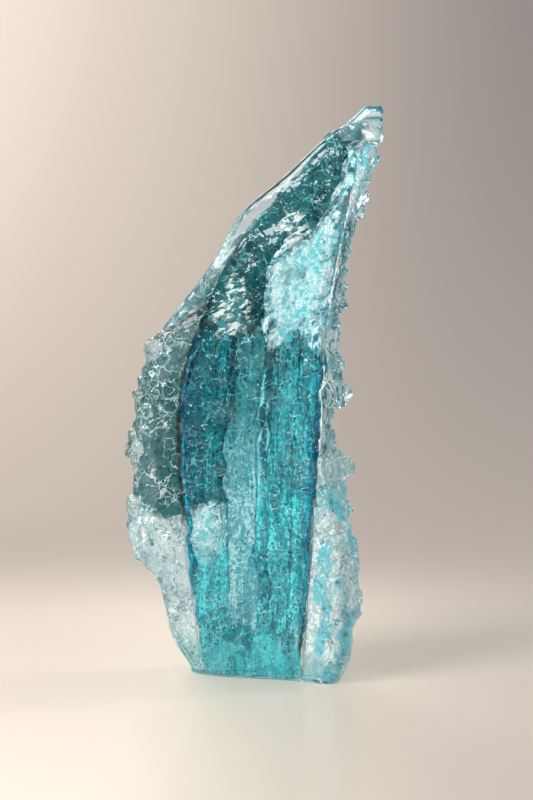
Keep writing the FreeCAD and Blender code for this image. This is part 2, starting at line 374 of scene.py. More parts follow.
# %% [markdown]
# ## The paper's tones
# The wall is light at the left, darker at the right, and glows in the upper left corner. Lamps could paint
# that, but then they would light the glass too. So the wall's tone is painted for the rays that come from
# the eye, off gloss and through glass, while the floor stays lit paper that keeps the shadow, though its
# colour is painted too: lighter at the left and darker to the right and to the back, as painted light. Glass
# also needs something dark and something white to bend, as a maker's black flags and white cards give. No
# flags or cards stand here: a painted dark band and a painted white band, left and right of the picture, are
# tones of the paper that only rays off the glass or through it meet, so they are painted reflections. Those
# rays also see the paper cooler and brighter, which is painted light as well.

# %% Paper tones
low_left, low_right = (0.64, 0.55, 0.47), (0.47, 0.415, 0.37)
high_left, high_right, corner_glow = (0.80, 0.70, 0.60), (0.30, 0.265, 0.25), (0.96, 0.84, 0.72)
# floor tones hold painted light: lighter at the left, darker to the right and to the back
floor_left, floor_right, floor_back = (0.86, 0.755, 0.64), (0.60, 0.53, 0.475), (0.48, 0.42, 0.375)
# painted light for rays off and through the glass: a cooler paper tone, a dark flag band and a white card
# band
painted_cool_light, painted_dark_flag, painted_white_card = (0.66, 0.69, 0.70), (0.02, 0.03, 0.035), (1.0, 1.0, 1.0)
wall_turn, corner_turn, floor_turn = (-0.62, 0.22), (-0.44, -0.74), (-0.08, 0.22)
wall_height_turn, floor_depth_turn, wall_begins = (0.35, 1.9), (0.15, 0.60), (0.10, 0.75)
painted_flag_begins, painted_card_begins, painted_card_ends = (0.30, 0.55), (0.78, 0.82), (1.3, 1.25)
paper, tree = new_material("pale_paper")
across, back = axis(tree, "X"), axis(tree, "Y")
side = fade(across, *wall_turn)
lower = blend_colour(side, low_left, low_right)
upper = blend_colour(side, high_left, high_right)
upper = blend_colour(fade(across, *corner_turn), upper, corner_glow)
wall_tone = blend_colour(fade(back, *wall_height_turn), lower, upper)
# painted light falloff on the lit floor: lighter at the left, darker to the right and to the back
floor_tone = blend_colour(fade(across, *floor_turn), floor_left, floor_right)
floor_tone = blend_colour(fade(back, *floor_depth_turn), floor_tone, floor_back)
eye = add(tree, "LightPath").outputs
glass_ray = most(eye["Is Glossy Ray"], eye["Is Transmission Ray"])
seen = times(most(eye["Is Camera Ray"], glass_ray), fade(back, *wall_begins))
away = arithmetic("ABSOLUTE", across)
# painted light for glass rays: the paper turns cooler and brighter, with a painted dark flag band at the
# sides and a painted white card band beyond it
cool_tone = blend_colour(0.6, wall_tone, painted_cool_light)
glass_tone = blend_colour(fade(away, *painted_flag_begins), cool_tone, painted_dark_flag)
painted_card_mask = times(fade(away, *painted_card_begins), fade(away, *painted_card_ends))
glass_tone = blend_colour(painted_card_mask, glass_tone, painted_white_card)
seen_tone = blend_colour(glass_ray, wall_tone, glass_tone)
paper_seen = add(tree, "Emission", {"Color": seen_tone, "Strength": 1.0})
paper_lit = add(tree, "BsdfPrincipled", {"Base Color": floor_tone, "Roughness": 0.3,
                                         "Specular IOR Level": 0.5})
front = add(tree, "MixShader", {0: seen, 1: paper_lit.outputs[0], 2: paper_seen.outputs[0]})
behind = add(tree, "BsdfTransparent")
whole_paper = add(tree, "MixShader", {0: add(tree, "NewGeometry").outputs["Backfacing"],
                                      1: front.outputs[0], 2: behind.outputs[0]})
add(tree, "OutputMaterial", {"Surface": whole_paper.outputs[0]})
sweep.data.materials.append(paper)
print("paper:", len(tree.nodes), "nodes")

# %% [markdown]
# ## Room light
# The room fills the shadows evenly, a little brighter from above. A picture of a real room would do it too,
# but two tones are enough, and gloss gets a darker room with one bright window at the upper left, so that
# the smooth parts of the glass have something to mirror.

# %% Room light
room_low, room_high = (0.42, 0.39, 0.36), (0.62, 0.59, 0.56)
gloss_low, gloss_high, window_tone = (0.05, 0.05, 0.05), (0.25, 0.25, 0.25), (1.0, 1.0, 1.0)
room_strength = 0.95
room = bpy.data.worlds.new("room")
scene.world = room
room.use_nodes = True
tree = room.node_tree
tree.nodes.clear()
toward = add(tree, "SeparateXYZ", {0: add(tree, "TexCoord").outputs["Generated"]}).outputs
rise = fade(toward["Z"], -0.2, 0.9)
window = times(fade(toward["X"], -0.35, -0.55), fade(toward["Z"], 0.15, 0.35))
gloss_tone = blend_colour(window, blend_colour(rise, gloss_low, gloss_high), window_tone)
off_gloss = add(tree, "LightPath").outputs["Is Glossy Ray"]
room_tone = blend_colour(off_gloss, blend_colour(rise, room_low, room_high), gloss_tone)
sky = add(tree, "Background", {"Color": room_tone, "Strength": room_strength})
add(tree, "OutputWorld", {"Surface": sky.outputs[0]})
print("room strength:", room_strength)

# %% [markdown]
# ## Lamps
# One soft box at the upper left throws the shadow to the right. A tall narrow one at the right rear lights
# the edges, and a low one behind makes the clear glass sparkle.

# %% Soft boxes
lamps = {"key_box": ((-1.0, -0.9, 1.25), (0, 0, 0.2), (0.8, 0.8), 23),
         "rim_box": ((1.1, 0.55, 0.7), (0, 0, 0.2), (0.3, 1.0), 5),
         "back_box": ((-0.55, 1.0, 0.95), (0, 0, 0.22), (0.6, 0.5), 6)}
for name, (place, target, size, power) in lamps.items():
    clear_selection()
    look = (Vector(target) - Vector(place)).to_track_quat("-Z", "Y").to_euler()
    bpy.ops.object.light_add(type="AREA", location=place, rotation=look)
    lamp = bpy.context.object
    lamp.name = name
    lamp.data.shape = "RECTANGLE"
    lamp.data.size, lamp.data.size_y = size
    lamp.data.energy = power

# %% [markdown]
# ## The skin
# All the clear charges melted into one body, with no border left between them, so the skin is one piece. It
# could be sculpted by hand from a slab. Here copies of the nodes are joined, and a voxel remesh melts them
# into one closed skin of even faces, which the next cells hammer and pinch with displacement. The copies are
# swollen before the remesh and drawn in after it, which closes the seams between them.

# %% Copies of the nodes
def copy_of(nodes, name):
    clear_selection()
    copies = []
    for n in nodes:
        twin = frame["nodes"][n].copy()
        twin.data = frame["nodes"][n].data.copy()
        twin.parent = None
        for key in list(twin.keys()):
            if key.startswith("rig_"):
                del twin[key]
        scene.collection.objects.link(twin)
        twin.hide_render = False
        twin.hide_viewport = False
        copies.append(twin)
    for twin in copies:
        twin.select_set(True)
    bpy.context.view_layer.objects.active = copies[0]
    if len(copies) > 1:
        bpy.ops.object.join()
    made = bpy.context.object
    made.name = name
    made.data.name = name
    made.data.materials.clear()
    choose(made)
    bpy.ops.object.mode_set(mode="EDIT")
    bpy.ops.mesh.select_all(action="SELECT")
    bpy.ops.mesh.remove_doubles(threshold=0.01 * mm)
    bpy.ops.object.mode_set(mode="OBJECT")
    return made


# %% Melt the charges together
clear_nodes = ["front_casing", "back_casing", "crest_front_casing", "crest_back_casing", "left_flank",
               "right_flank", "polished_rim", "crest_edge", "crest_tip", "foot_left_block",
               "foot_right_block", "shoulder_nugget", "upper_right_lobe", "lower_right_lobe",
               "left_edge_chips", "right_edge_chips"]
melt, voxel, melt_smoothing = 5.5 * mm, 1.26 * mm, 5
skin = copy_of(list(frame["nodes"]), "clear_skin")
finish_modifier(skin, "DISPLACE", strength=melt, mid_level=0.0)
finish_modifier(skin, "REMESH", mode="VOXEL", voxel_size=voxel)
finish_modifier(skin, "SMOOTH", factor=0.5, iterations=melt_smoothing)
finish_modifier(skin, "DISPLACE", strength=-melt, mid_level=0.0)
finish_modifier(skin, "REMESH", mode="VOXEL", voxel_size=voxel)
print("skin triangles:", sum(len(f.vertices) - 2 for f in skin.data.polygons))

# %% [markdown]
# ## Where the skin is rough
# On the real piece the two sides are beaded with melted chips, the crest's right facet is cobbled, folds run
# like ropes along the right edge, and the upper left rim is smooth. A maker could paint these zones by hand.
# Here each zone is a weight that is worked out from a point's height and from its distance to the outline,
# so it stays in its place when the outline moves. All distances are in mm.

# %% Weights
row_step, weight_levels = 2 * mm, 20


def points_of(piece):
    flat = np.empty(len(piece.data.vertices) * 3, np.float32)
    piece.data.vertices.foreach_get("co", flat)
    return flat.reshape(-1, 3)


def row_ends(rows, values):
    low = np.full(rows.max() + 1, np.inf)
    high = np.full(rows.max() + 1, -np.inf)
    np.minimum.at(low, rows, values)
    np.maximum.at(high, rows, values)
    return low[rows], high[rows]


def soft_step(value, low, high):
    low, high = low * mm, high * mm
    t = np.clip((value - low) / (high - low), 0, 1)
    return t * t * (3 - 2 * t)


def weigh(piece, name, weights):
    group = piece.vertex_groups.new(name=name)
    levels = np.round(np.clip(weights, 0, 1) * weight_levels).astype(int)
    for level in range(1, weight_levels + 1):
        chosen = np.nonzero(levels == level)[0]
        if len(chosen):
            group.add([int(i) for i in chosen], level / weight_levels, "REPLACE")
    return group


def mark_share(piece, name, levels):
    colours = np.ones((len(levels), 4), np.float32)
    colours[:, :3] = np.clip(levels, 0, 1)[:, None]
    made = piece.data.color_attributes.new(name, "FLOAT_COLOR", "POINT")
    made.data.foreach_set("color", colours.ravel())


spots = points_of(skin)
level_rows = np.clip((spots[:, 2] / row_step).astype(int), 0, None)
left_line, right_line = row_ends(level_rows, spots[:, 0])
print("skin width in mm:", round(float((right_line - left_line).max()) / mm))

# %% Where the skin is rough
x, z = spots[:, 0], spots[:, 2]
from_left, from_right = x - left_line, right_line - x
above_foot = soft_step(z, 20, 45)
left_rough = (1 - soft_step(from_left, 9, 30)) * soft_step(z, 55, 80) * (1 - soft_step(z, 225, 255))
right_rough = (1 - soft_step(from_right, 10, 26)) * above_foot * (1 - soft_step(z, 376, 394))
edges = np.maximum(left_rough, right_rough)
crest = soft_step(z, 215, 250) * (1 - soft_step(z, 380, 396)) * (1 - soft_step(from_right, 26, 44))
polished = soft_step(z, 235, 255) * (1 - soft_step(from_left, 9, 18))
folds = above_foot * (1 - polished) * (1 - soft_step(z, 385, 398))
rope_band = soft_step(z, 120, 150) * (1 - soft_step(z, 310, 350)) * (1 - soft_step(from_right, 15, 22))
rope_width, rope_sway_length, rope_sway = 0.8 * mm, 9 * mm, 1.4
rope_wave = 0.5 + 0.5 * np.sin(from_right / rope_width + rope_sway * np.sin(z / rope_sway_length))
for name, weights in {"edges": edges, "peak": soft_step(z, 378, 392), "ropes": rope_band * rope_wave,
                      "crest": crest, "folds": folds}.items():
    weigh(skin, name, weights)
rough_now = np.clip(0.22 * above_foot + edges + 0.8 * crest - 0.6 * polished, 0, 1)
print("rough share of the skin:", round(float((rough_now > 0.5).mean()), 2))

# %% [markdown]
# ## Hammer and pinch
# The chips' beads, the cobbles and the soft folds show in the outline and catch the light, so they are real
# shape and not only bump. Each could be sculpted bead by bead. Displace modifiers with cloud and cell
# textures press them in all at once, each only where its weight says so. The peak is smoothed instead, and
# the foot is pressed flat, so that the piece stands.

# %% Hammer and pinch
def relief(piece, name, kind, size, depth, group, direction="NORMAL", **settings):
    texture = bpy.data.textures.get(name) or bpy.data.textures.new(name, kind)
    texture.noise_scale = size
    for key, value in settings.items():
        setattr(texture, key, value)
    middle_level = 0.4 if direction == "NORMAL" else 0.5
    return finish_modifier(piece, "DISPLACE", texture=texture, texture_coords="LOCAL", strength=depth,
                           mid_level=middle_level, vertex_group=group, direction=direction)


peak_smoothing, rope_depth = 30, 3.2 * mm
relief(skin, "lumps", "CLOUDS", 16 * mm, 5.5 * mm, "edges", noise_depth=1)
finish_modifier(skin, "SMOOTH", factor=0.5, iterations=peak_smoothing, vertex_group="peak")
finish_modifier(skin, "DISPLACE", strength=-rope_depth, mid_level=0.0, vertex_group="ropes")
relief(skin, "nubs", "VORONOI", 7 * mm, -4.2 * mm, "edges", distance_metric="DISTANCE")
relief(skin, "cobbles", "VORONOI", 13 * mm, -4.2 * mm, "crest", distance_metric="DISTANCE")
relief(skin, "soft_folds", "CLOUDS", 24 * mm, 3.2 * mm, "folds", noise_depth=1)
finish_modifier(skin, "SMOOTH", factor=0.5, iterations=1)
skin.vertex_groups.clear()
mark_share(skin, "rough_share", rough_now)
print("skin box:", [round(float(v) / mm, 1) for v in (*points_of(skin).min(0), *points_of(skin).max(0))])

# %% Press the foot flat
foot_rest, foot_flat = 0.1 * mm, 1.3 * mm
clear_parts(skin, "VERT")
skin.data.vertices.foreach_set("select", points_of(skin)[:, 2] < foot_flat)
bpy.ops.object.mode_set(mode="EDIT")
bpy.ops.transform.resize(value=(1, 1, 0), center_override=(0, 0, foot_rest))
bpy.ops.object.mode_set(mode="OBJECT")
choose(skin)
bpy.ops.object.shade_smooth()
print("foot rests at mm:", round(float(points_of(skin)[:, 2].min()) / mm, 2))

# %% [markdown]
# ## Clear glass
# The skin's glass is clear, a little blue in its thick beads, and crazed with shallow cracks and pebbles that
# are finer than a face of the mesh. Those go into a bump, which is stronger where the skin is rough. Real
# glass lets light through to the floor in bright caustics. Tracing them takes long and leaves noise, so for
# shadow rays the glass is simply clear and tinted.

# %% Clear glass
clear_tone, bead_tone, shadow_tone = (0.885, 0.987, 0.992), (0.66, 0.94, 0.965), (0.90, 0.97, 0.975)
glass_ior, bump_depth = 1.48, 1.4 * mm
clear_glass, tree = new_material("clear_glass")
share, place = stored(tree, "rough_share"), object_place(tree)
net = use_group(tree, cracks, Scale=95, Width=0.05, Warp=0.008, Broken=0.42)[0]
wide_net = use_group(tree, cracks, Scale=48, Width=0.035, Warp=0.012, Broken=0.46)[0]
ripple = noise(tree, place, 230, Detail=3, Roughness=0.5)
swell = noise(tree, place, 85, Detail=1)
pebble = add(tree, "TexVoronoi", {"Vector": place, "Scale": 260}, feature="SMOOTH_F1").outputs["Distance"]
crazed_here = fade(share, 0.02, 0.2)
height = times(times(plus(net, wide_net), -0.5), crazed_here)
height = minus(height, times(pebble, times(crazed_here, 0.5)))
height = plus(height, times(times(ripple, share), 0.9))
height = plus(height, times(swell, 0.8))
bump_strength = plus(0.45, times(share, 0.3))
wavy = add(tree, "Bump", {"Height": height, "Strength": bump_strength, "Distance": bump_depth})
edge_tint = times(fade(share, 0.3, 0.9), fade(swell, 0.42, 0.6))
skin_tone = blend_colour(edge_tint, clear_tone, bead_tone)
glass = add(tree, "BsdfPrincipled", {"Base Color": skin_tone, "Transmission Weight": 1.0,
                                     "Roughness": 0.02, "IOR": glass_ior, "Normal": wavy.outputs[0]})
let_light = add(tree, "BsdfTransparent", {"Color": (*shadow_tone, 1)})
through = add(tree, "MixShader", {0: add(tree, "LightPath").outputs["Is Shadow Ray"], 1: glass.outputs[0],
                                  2: let_light.outputs[0]})
add(tree, "OutputMaterial", {"Surface": through.outputs[0]})
skin.data.materials.append(clear_glass)
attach(skin, "root")
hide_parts(*clear_nodes)
print("skin replaces", len(clear_nodes), "nodes")

# %% [markdown]
# ## The coloured charges
# Each bar of the inlay is its own glass. It has no skin of its own, because it melted into the clear glass
# round it, so light doesn't bend where it begins. A bar's sides sway and its ends are torn, as where hot
# glass has flowed. That could be modelled bar by bar, but one cloud texture moves all the bars, so that
# neighbours still fit each other.

# %% Shape a charge
inside_gap, end_reach = 0.12 * mm, 16 * mm
torn_size, torn_depth = 16 * mm, 70 * mm


def depth_in(piece, along, over):
    points = points_of(piece)
    rows = ((points[:, along] - points[:, along].min()) / row_step).astype(int)
    low, high = row_ends(rows, points[:, over])
    return points[:, over] - low, high - points[:, over]


def charge(*nodes, gap=inside_gap, grain=1.5 * mm, top=0.0, bottom=0.0, name=None, sway=9 * mm):
    piece = copy_of(nodes, name or nodes[0] + "_glass")
    finish_modifier(piece, "REMESH", mode="VOXEL", voxel_size=grain)
    finish_modifier(piece, "DISPLACE", strength=-gap, mid_level=0.0)
    if sway:
        relief(piece, "sway", "CLOUDS", 22 * mm, sway, "", direction="X", noise_depth=1)
    from_low, from_high = depth_in(piece, 0, 2)
    ends = np.maximum(top * (1 - from_high / end_reach), bottom * (1 - from_low / end_reach))
    weigh(piece, "ends", ends)
    relief(piece, "torn", "CLOUDS", torn_size, torn_depth, "ends", direction="Z", noise_depth=2)
    piece.vertex_groups.clear()
    choose(piece)
    bpy.ops.object.shade_smooth_by_angle(angle=math.radians(50))
    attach(piece, "root")
    return piece


def rim_share(piece, reach):
    return np.min([*depth_in(piece, 0, 2), *depth_in(piece, 2, 0)], axis=0) / (reach * mm)


# %% [markdown]
# ## What marks a bar
# Seen close, no bar is plain. The spine has bright ribs with a dark seam between them, the foot has a few
# long veins, a swirl and a painted glint, and the left stave turns frosty under the teal sheet's scalloped
# edge. Each mark could be a piece of its own, but none has an edge to feel, so they are tones of the bar's
# glass; the foot's glint is a painted highlight, not a mark in the glass.

# %% Marks of a bar
rib_tone, seam_tone = (0.28, 0.84, 0.92), (0.0, 0.10, 0.14)
ring_tone, frost_tone, blue_side_tone = (0.0, 0.26, 0.34), (0.72, 0.98, 0.99), (0.0, 0.15, 0.25)
# the foot's sparkle patch is a painted highlight
foot_swirl, foot_painted_glint, frost_patch = (17, 34, 10, 13), (-6, 58, 3.5, 8), (-40, 110, 18, 24, 1.2)


def ribbed(tree, tone, streak):
    side = fade(stored(tree, "inside_share"), 0.66, 0.50)
    high = fade(axis(tree, "Z"), 0.10, 0.17)
    rib = times(times(side, high), fade(streak, 0.05, 0.55, 0.25, 1.0))
    seam = times(minus(1.0, side), high)
    tone = blend_colour(rib, tone, rib_tone)
    tone = blend_colour(times(seam, 0.8), tone, seam_tone)
    return tone, most(streak, times(high, 0.95))


def veined(tree, tone, bright, fine):
    vein = use_group(tree, cracks, Scale=34, Width=0.014, Warp=0.03, Broken=0.40)[0]
    swirl = times(patch_at(tree, *foot_swirl), fine)
    # the last patch is a painted glint on the foot, pale as a highlight
    bright = most(bright, vein, times(swirl, 0.8), patch_at(tree, *foot_painted_glint))
    rings = add(tree, "TexWave", {"Vector": object_place(tree), "Scale": 14, "Distortion": 9, "Detail": 2,
                                  "Detail Scale": 1.2}, wave_type="RINGS", rings_direction="Y").outputs["Fac"]
    return blend_colour(fade(rings, 0.55, 0.9, 0.0, 0.6), tone, ring_tone), bright


def frosted_low(tree, tone, streak, rising):
    frost = times(patch_at(tree, *frost_patch), fade(streak, 0.0, 0.6, 0.40, 0.95))
    frost = times(frost, minus(1.0, rising))
    tone = blend_colour(frost, tone, frost_tone)
    blue_side = times(fade(axis(tree, "X"), -0.040, -0.054), rising)
    return blend_colour(times(blue_side, 0.7), tone, blue_side_tone), most(streak, frost)


# %% [markdown]
# ## Tinted glass
# The colour comes from depth, which Volume Absorption gives, and from a milky pigment that shows as streaks,
# which is a thin Alpha. A flat colour on the bar's faces would look painted, because it wouldn't deepen where
# the bar is thick. Each bar turns from its low tones to its high tones along a scalloped line, and carries
# pale seed bubbles, dark specks and fine cracks. The pale seeds and cracks are partly painted glints, set
# near white so that the bars sparkle.

# %% Tinted glass
# pale tones of seeds and cracks, partly painted glints
low_mark_and_glint, high_mark_and_glint, speck_tone = (0.55, 0.97, 0.99), (0.32, 0.86, 0.89), (0.0, 0.05, 0.07)


def tinted(name, low_tones, high_tones, turn, milk, absorb, density, scale=150, ribs=False, veins=False,
           frosted=False, marked=0.75):
    material, tree = new_material(name)
    flow = use_group(tree, streaks, Scale=scale, Stretch=0.11, Warp=0.020)
    dots = use_group(tree, seeds, Scale=380, Size=0.32, Share=0.24)[0]
    specks = use_group(tree, seeds, Scale=330, Size=0.36, Share=0.22)[0]
    net = use_group(tree, cracks, Scale=105, Width=0.045, Warp=0.020, Broken=0.42)[0]
    scallop = add(tree, "TexVoronoi", {"Vector": object_place(tree), "Scale": 85}).outputs["Distance"]
    ragged = plus(axis(tree, "Z"), times(flow["Mask"], 0.006))
    rising = fade(plus(ragged, times(scallop, 0.016)), *turn)
    streak = flow["Both"]
    tone = blend_colour(streak, blend_colour(rising, low_tones[0], high_tones[0]),
                        blend_colour(rising, low_tones[1], high_tones[1]))
    bright = most(dots, times(net, 0.85))
    if ribs:
        tone, streak = ribbed(tree, tone, streak)
    if veins:
        tone, bright = veined(tree, tone, bright, flow["Fine"])
    if frosted:
        tone, streak = frosted_low(tree, tone, streak, rising)
    # seeds and cracks turn pale here, partly as painted glints
    tone = blend_colour(bright, tone, blend_colour(rising, low_mark_and_glint, high_mark_and_glint))
    tone = blend_colour(specks, tone, speck_tone)
    cover = times(plus(streak, 0.12), milk)
    cover = most(cover, fade(streak, 0.30, 0.02, 0.0, 0.75), times(bright, marked),
                 times(specks, 0.7), clamp=True)
    milky = add(tree, "BsdfPrincipled", {"Base Color": tone, "Roughness": 0.5, "Alpha": cover,
                                         "Specular IOR Level": 0.1})
    depth = add(tree, "VolumeAbsorption", {"Color": (*absorb, 1), "Density": density})
    add(tree, "OutputMaterial", {"Surface": milky.outputs[0], "Volume": depth.outputs[0]})
    return material


# %% Glasses of the bars
low_turquoise = ((0.0, 0.20, 0.27), (0.14, 0.95, 1.0))
high_turquoise = ((0.0, 0.08, 0.11), (0.05, 0.62, 0.70))
high_left_tones = ((0.0, 0.06, 0.08), (0.0, 0.34, 0.40))
high_centre_tones = ((0.0, 0.06, 0.08), (0.06, 0.44, 0.47))
high_spine_tones = ((0.0, 0.06, 0.08), (0.01, 0.16, 0.20))
pale_tones = ((0.05, 0.42, 0.50), (0.60, 0.92, 0.94))
teal_tones = ((0.0, 0.05, 0.07), (0.02, 0.20, 0.22))
low_blue, high_blue = ((0.0, 0.25, 0.42), (0.0, 0.60, 0.82)), ((0.0, 0.14, 0.30), (0.0, 0.38, 0.60))
long_turn, veil_turn, pale_turn = (0.09, 0.23), (0.127, 0.134), (0.150, 0.20)
materials = {
    "turquoise": tinted("turquoise_glass", low_turquoise, high_turquoise, long_turn, 0.72,
                        (0, 0.86, 0.93), 58),
    "left": tinted("left_stave_glass", low_turquoise, high_left_tones, veil_turn, 0.60, (0, 0.84, 0.90), 72,
                   frosted=True, marked=0.6),
    "foot": tinted("foot_turquoise_glass", low_turquoise, low_turquoise, long_turn, 0.46, (0, 0.87, 0.93), 54,
                   scale=100, veins=True, marked=0.6),
    "centre": tinted("centre_stave_glass", pale_tones, high_centre_tones, pale_turn, 0.70,
                     (0, 0.86, 0.92), 60),
    "spine": tinted("spine_glass", low_turquoise, high_spine_tones, pale_turn, 0.72, (0, 0.84, 0.90), 60,
                    ribs=True),
    "teal": tinted("deep_teal_glass", teal_tones, teal_tones, long_turn, 0.56, (0, 0.62, 0.655), 200,
                   marked=0.45),
    "veil": tinted("veil_teal_glass", teal_tones, teal_tones, long_turn, 0.30, (0, 0.34, 0.37), 520),
    "blue": tinted("blue_glass", low_blue, high_blue, long_turn, 0.85, (0, 0.94, 0.99), 170),
}
print("glasses:", sorted(materials))

# %% [markdown]
# ## Froth glass under the crest
# Right of the spine line the crest is full of bubbles: white and cyan foam that leans with the wave, with
# dark gaps where clear glass shows the teal behind. Real bubbles would need millions of faces, so one churned
# noise, leaned and drawn out, gives dark, cyan and white in turn, with cracks and seeds over it. The white is
# partly a painted highlight, for light that the cobbled facet bends and throws back, and the pale cracks and
# seeds are partly painted glints.

# %% Froth glass
froth_lean, froth_stretch = -0.5, 0.5
# the crest white is partly a painted highlight, and the mark tone partly painted glints
gap_tone, foam_tone, crest_white_and_highlight = (0.0, 0.13, 0.17), (0.22, 0.78, 0.92), (0.98, 1.0, 1.0)
froth_mark_and_glint, froth_speck = (0.98, 0.98, 0.96), (0.0, 0.20, 0.26)
froth_core, tree = new_material("froth_glass")
leaning = add(tree, "Mapping", {"Vector": object_place(tree), "Rotation": (0, froth_lean, 0)}).outputs[0]
leaning = vector(tree, "MULTIPLY", leaning, (1.0, 1.0, froth_stretch))
churn = noise(tree, leaning, 120, Detail=6, Roughness=0.68, Distortion=1.5)
net = use_group(tree, cracks, Scale=130, Width=0.05, Warp=0.02, Broken=0.35)[0]
dots = use_group(tree, seeds, Scale=330, Size=0.30, Share=0.25)[0]
specks = use_group(tree, seeds, Scale=210, Size=0.36, Share=0.28)[0]
bright = most(net, dots)
tone = blend_colour(fade(churn, 0.43, 0.485), gap_tone, foam_tone)
# white froth, partly a painted highlight of light bent by the cobbled facet
tone = blend_colour(fade(churn, 0.505, 0.54), tone, crest_white_and_highlight)
# pale cracks and seeds, partly painted glints
tone = blend_colour(bright, tone, froth_mark_and_glint)
tone = blend_colour(specks, tone, froth_speck)
cover = plus(0.42, times(fade(churn, 0.46, 0.53), 0.53))
cover = most(cover, times(bright, 0.9), clamp=True)
milky = add(tree, "BsdfPrincipled", {"Base Color": tone, "Roughness": 0.35, "Alpha": cover})
depth = add(tree, "VolumeAbsorption", {"Color": (0, 0.90, 1.0, 1), "Density": 26})
add(tree, "OutputMaterial", {"Surface": milky.outputs[0], "Volume": depth.outputs[0]})
materials["froth"] = froth_core
print("froth glass:", len(tree.nodes), "nodes")

# %% [markdown]
# ## Place the charges
# Each node of the inlay now becomes its piece of glass. The table gives the glass of each, and how much its
# top and its bottom are torn. The dark bar of the crest also spreads to the rim and up into the peak, as the
# photograph shows, and the spine keeps its distance to its own sides for the ribs.

# %% Place the charges
charges = {
    "left_stave": ("left", 1.0, 1.0), "centre_right_stave": ("turquoise", 1.0, 1.0),
    "right_stave": ("turquoise", 1.0, 1.0), "foot_core": ("foot", 1.0, 0.0),
    "centre_left_stave": ("centre", 1.0, 1.0), "crest_right_core": ("froth", 0.0, 1.0),
    "spine_bar": ("spine", 1.0, 1.0), "crest_left_core": ("teal", 0.3, 1.0),
    "deep_teal_veil": ("veil", 0.3, 0.3), "left_blue_strip": ("blue", 0.2, 0.2),
    "right_blue_strip": ("blue", 0.2, 0.2),
}
foot_gap, thin_grain, bar_grain = 1.6 * mm, 1.0 * mm, 1.5 * mm
rim_reach, rim_spread, tip_reach, spine_half = 14, 5 * mm, 14, 6 * mm


def spread(piece, weights, moves):
    weigh(piece, "spread", weights)
    for direction, strength in moves:
        finish_modifier(piece, "DISPLACE", direction=direction, strength=strength, mid_level=0.0,
                        vertex_group="spread")
    piece.vertex_groups.clear()


for node, (finish, top, bottom) in charges.items():
    gap = foot_gap if node == "foot_core" else inside_gap
    grain = thin_grain if "strip" in node or "veil" in node else bar_grain
    piece = charge(node, gap=gap, grain=grain, top=top, bottom=bottom)
    if node == "crest_left_core":
        spread(piece, 1 - depth_in(piece, 2, 0)[0] / (rim_reach * mm), [("X", -rim_spread)])
        tops = points_of(piece)[:, 2]
        peak = float(tops.max()) / mm
        spread(piece, soft_step(tops, peak - tip_reach, peak), [("Z", 8 * mm), ("X", 3 * mm)])
    if node == "spine_bar":
        mark_share(piece, "inside_share", np.minimum(*depth_in(piece, 2, 0)) / spine_half)
    piece.data.materials.append(materials[finish])
    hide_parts(node)
    print(piece.name, len(piece.data.polygons))

# %% [markdown]
# ## White frit
# Crushed white glass was strewn in two places: under the crest's right facet, and low on the left of the
# inlay. It melted into curls of froth with clear glass between them. Its outline is torn, so a share that
# falls from the middle to the edge is stored on the mesh, and noise eats into it. Grains could be scattered
# one by one, but melted frit has no grains left.
# Under the crest the frit's white is partly a painted highlight, for light that the cobbled facet bends and
# throws back.

# %% Frit
def thin_layer(tree, tone, cover, roughness=0.4):
    sheet = add(tree, "BsdfPrincipled", {"Base Color": tone, "Roughness": roughness, "Alpha": cover})
    add(tree, "OutputMaterial", {"Surface": sheet.outputs[0]})
    print("thin layer:", len(tree.nodes), "nodes")


# the frit white is partly a painted highlight under the crest
frit_shade, frit_white_and_highlight = (0.25, 0.78, 0.84), (0.93, 0.98, 0.97)
frit, tree = new_material("white_frit")
curls = use_group(tree, froth, Scale=230, Curl=1.2, Thin=0.05, Cover=0.36)
# white curls, partly a painted highlight under the crest
tint = blend_colour(fade(curls["Height"], 0.44, 0.58), frit_shade, frit_white_and_highlight)
ragged = times(minus(curls["Height"], 0.5), 3.2)
torn = fade(plus(stored(tree, "inside_share"), ragged), 0.2, 0.9)
cover = times(fade(curls["Mask"], 0.2, 1.0, 0.08, 0.8), torn)
cover = times(cover, fade(axis(tree, "Z"), 0.074, 0.112, 0.25, 1.0))
thin_layer(tree, tint, times(cover, 0.95))
for node in ("foam_frit", "frost_frit"):
    piece = charge(node, grain=thin_grain)
    mark_share(piece, "inside_share", rim_share(piece, 10))
    piece.data.materials.append(frit)
    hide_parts(node)
    print(piece.name, len(piece.data.polygons))

# %% [markdown]
# ## The crazed left wing
# The wing left of the inlay isn't empty. It is crazed with fine cracks, smoky above the teal sheet's lower
# edge, and lit by glints in two places, which are painted highlights: pale patches on the layer, mixed into
# its white clouds. Cracks could be cut into the mesh, but they are thinner than a hair.
# A copy of the wing, drawn inwards, carries them just under the skin, on its front and on its back.

# %% Crazed glass
wing_clear, wing_smoke, wing_block = (0.74, 0.92, 0.93), (0.0, 0.13, 0.135), (0.25, 0.68, 0.66)
